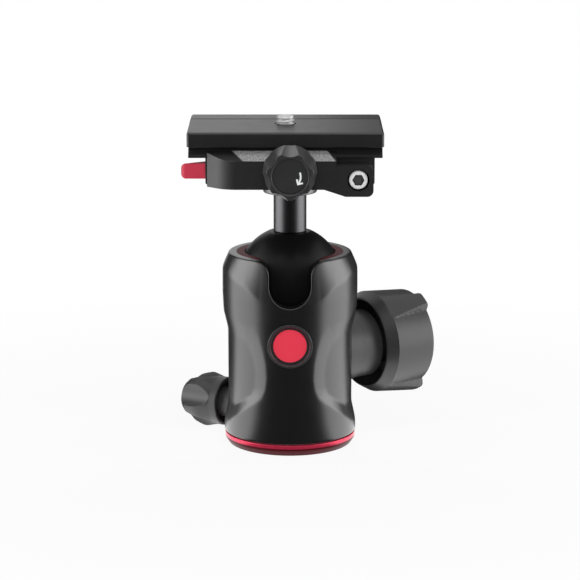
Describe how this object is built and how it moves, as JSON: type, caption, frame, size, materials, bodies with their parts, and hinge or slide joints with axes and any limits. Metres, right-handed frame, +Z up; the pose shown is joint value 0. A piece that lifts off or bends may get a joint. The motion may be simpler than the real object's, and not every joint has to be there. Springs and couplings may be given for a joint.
{
  "type": "tripod ball head",
  "caption": "Compact tripod ball head with a portrait notch, side lock knobs and a screw-lock quick-release clamp holding a dovetail camera plate.",
  "frame": {"origin": "centre of the underside, at the mouth of the tripod thread", "axes": "+Z up along the stem at rest, -Y towards the front with the portrait notch, +X towards the main lock knob"},
  "size_m": [0.0874, 0.08, 0.1111],
  "materials": {
    "body_black": "satin black powder coat on die-cast metal",
    "clamp_black": "fine textured black coat",
    "red_anodised": "satin red anodised",
    "red_polymer": "matte red slip polymer",
    "red_badge": "glossy red",
    "red_button": "satin red moulded",
    "bezel": "gloss black with a bright edge",
    "knob_rubber": "soft-touch black moulded",
    "cap_plastic": "matte black moulded",
    "ball_coat": "satin black coated aluminium",
    "stem_metal": "turned dark anodised",
    "boss_metal": "light satin aluminium",
    "collar_black": "black anodised",
    "plate_black": "satin black anodised",
    "steel": "bright turned steel",
    "nickel": "bright nickel plate",
    "brass": "turned brass",
    "slip_polymer": "white slip polymer"
  },
  "bodies": {
    "tripod_base": {"base_disc": "red_anodised", "thread_insert": "steel", "pan_retainer": "steel", "retainer_screws": "steel"},
    "head_body": {"housing": "body_black", "seat_ring": "red_polymer", "badge_bezel": "bezel", "badge_disc": "red_badge", "pan_washer_lower": "slip_polymer", "pan_washer_upper": "slip_polymer", "cup_spring": "steel", "main_bush": "brass", "main_collar": "collar_black", "pan_bush": "brass", "pan_collar": "collar_black"},
    "wedge_slide": {"lock_wedge": "steel"},
    "main_lock": {"main_knob": "knob_rubber", "main_screw": "steel", "main_knob_cap": "cap_plastic"},
    "cup_lift": {"ball_cup": "brass"},
    "pan_brake": {"pan_shoe": "brass"},
    "pan_lock": {"pan_knob": "knob_rubber", "pan_screw": "steel", "pan_knob_cap": "cap_plastic"},
    "slip_dish": {"ball_liner": "slip_polymer"},
    "ball_joint": {"ball": "ball_coat"},
    "clamp_top": {"stem": "stem_metal", "stem_boss": "boss_metal", "clamp_base": "clamp_black", "clamp_screw": "steel", "clamp_dowel": "steel", "clamp_stud": "steel", "guide_screw": "nickel", "guide_pin": "steel", "jaw_springs": "steel", "button_spring": "steel"},
    "jaw_slide": {"front_jaw": "clamp_black", "knob_washer": "steel"},
    "clamp_lock": {"clamp_knob": "knob_rubber", "clamp_knob_cap": "cap_plastic"},
    "safety_press": {"safety_button": "red_button"},
    "safety_pin": {"safety_catch": "steel"},
    "camera_plate": {"plate": "plate_black", "stop_screws": "steel", "screw_retainer": "steel"},
    "camera_lock": {"camera_screw": "nickel"}
  },
  "joints": [
    {"name": "pan", "type": "hinge", "parent": "tripod_base", "child": "head_body", "pos_m": [0, 0, 0.0043], "axis": [0, 0, 1], "continuous": true},
    {"name": "side_tilt", "type": "hinge", "parent": "head_body", "child": "slip_dish", "pos_m": [0, 0, 0.0563], "axis": [0, 1, 0], "range_deg": [-28, 28]},
    {"name": "front_tilt", "type": "hinge", "parent": "slip_dish", "child": "ball_joint", "pos_m": [0, 0, 0.0563], "axis": [1, 0, 0], "range_deg": [-28, 90]},
    {"name": "spin", "type": "hinge", "parent": "ball_joint", "child": "clamp_top", "pos_m": [0, 0, 0.0563], "axis": [0, 0, 1], "continuous": true},
    {"name": "wedge_travel", "type": "slide", "parent": "head_body", "child": "wedge_slide", "axis": [-0.8387, -0.5446, 0], "range_m": [0, 0.00125]},
    {"name": "main_knob_turn", "type": "hinge", "parent": "wedge_slide", "child": "main_lock", "pos_m": [0, 0, 0.03], "axis": [-0.8387, -0.5446, 0], "range_deg": [0, 360.2]},
    {"name": "cup_travel", "type": "slide", "parent": "head_body", "child": "cup_lift", "axis": [0, 0, 1], "range_m": [0, 0.000251]},
    {"name": "shoe_travel", "type": "slide", "parent": "head_body", "child": "pan_brake", "axis": [0.866, -0.5, 0], "range_m": [0, 0.0004]},
    {"name": "pan_knob_turn", "type": "hinge", "parent": "pan_brake", "child": "pan_lock", "pos_m": [0, 0, 0.01], "axis": [0.866, -0.5, 0], "range_deg": [0, 144.1]},
    {"name": "jaw_travel", "type": "slide", "parent": "clamp_top", "child": "jaw_slide", "axis": [0, -1, 0], "range_m": [0, 0.003]},
    {"name": "clamp_knob_turn", "type": "hinge", "parent": "jaw_slide", "child": "clamp_lock", "pos_m": [0, -0.0253, 0.097], "axis": [0, -1, 0], "range_deg": [0, 1350.5]},
    {"name": "button_press", "type": "slide", "parent": "clamp_top", "child": "safety_press", "axis": [1, 0, 0], "range_m": [0, 0.0025], "stiffness_N_per_m": 400, "deforming": ["button_spring"]},
    {"name": "catch_travel", "type": "slide", "parent": "clamp_top", "child": "safety_pin", "axis": [0, 0, -1], "range_m": [0, 0.0014]},
    {"name": "plate_slide", "type": "slide", "parent": "clamp_top", "child": "camera_plate", "axis": [1, 0, 0], "range_m": [-0.0435, 0.0055]},
    {"name": "camera_screw_turn", "type": "hinge", "parent": "camera_plate", "child": "camera_lock", "pos_m": [-0.0015, 0, 0.104], "axis": [0, 0, 1], "continuous": true}
  ],
  "couplings": [
    {"joint": "main_knob_turn", "follows": "wedge_travel", "rad_per_m": 5026.5},
    {"joint": "cup_travel", "follows": "wedge_travel", "ratio": 0.2},
    {"joint": "pan_knob_turn", "follows": "shoe_travel", "rad_per_m": 6283.2},
    {"joint": "clamp_knob_turn", "follows": "jaw_travel", "rad_per_m": 7854},
    {"joint": "catch_travel", "follows": "button_press", "ratio": 0.56}
  ]
}
